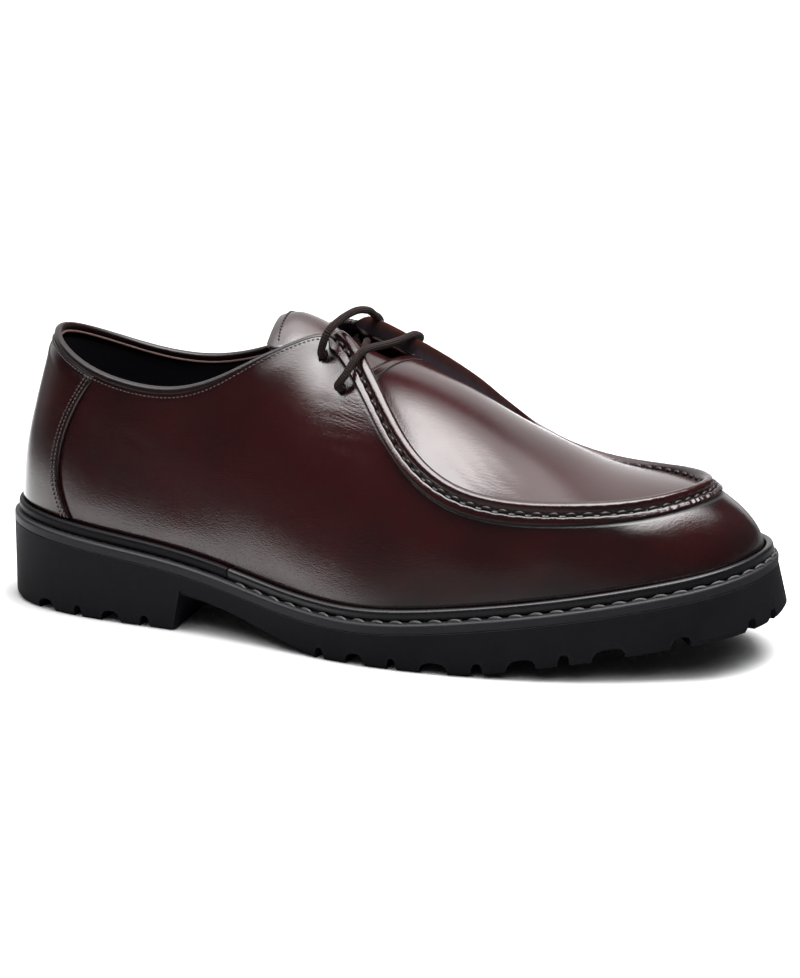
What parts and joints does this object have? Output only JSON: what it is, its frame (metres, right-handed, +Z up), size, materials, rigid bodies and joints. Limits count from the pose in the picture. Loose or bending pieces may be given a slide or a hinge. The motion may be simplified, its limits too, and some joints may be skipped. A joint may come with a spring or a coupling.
{
  "type": "moc toe shoe",
  "caption": "Low lace-up leather shoe with a raised moc toe seam, storm welt bead and lugged rubber sole with heel, standing empty.",
  "frame": {"origin": "middle of the sole's box in plan, on the floor plane under heel and forefoot", "axes": "+X from heel to toe, +Y towards the inner side of the foot, +Z up"},
  "size_m": [0.3016, 0.1086, 0.1226],
  "materials": {
    "sole_rubber": "matte black moulded rubber",
    "band_rubber": "dark grey rubber, eased and slightly worn on its top edge",
    "bead_rubber": "satin black round bead",
    "lining": "matte black lining leather",
    "upper_leather": "polished smooth burgundy-brown leather with dark burnish",
    "binding": "dark leather binding",
    "cord": "finely woven waxed cord and thread"
  },
  "bodies": {
    "root": {"outsole": "sole_rubber", "midsole": "band_rubber", "storm_welt": "bead_rubber", "heel_rand": "bead_rubber", "insole": "lining", "upper": "upper_leather", "heel_counter": "upper_leather", "collar_binding": "binding", "tongue": "upper_leather", "lace": "cord"}
  },
  "joints": []
}
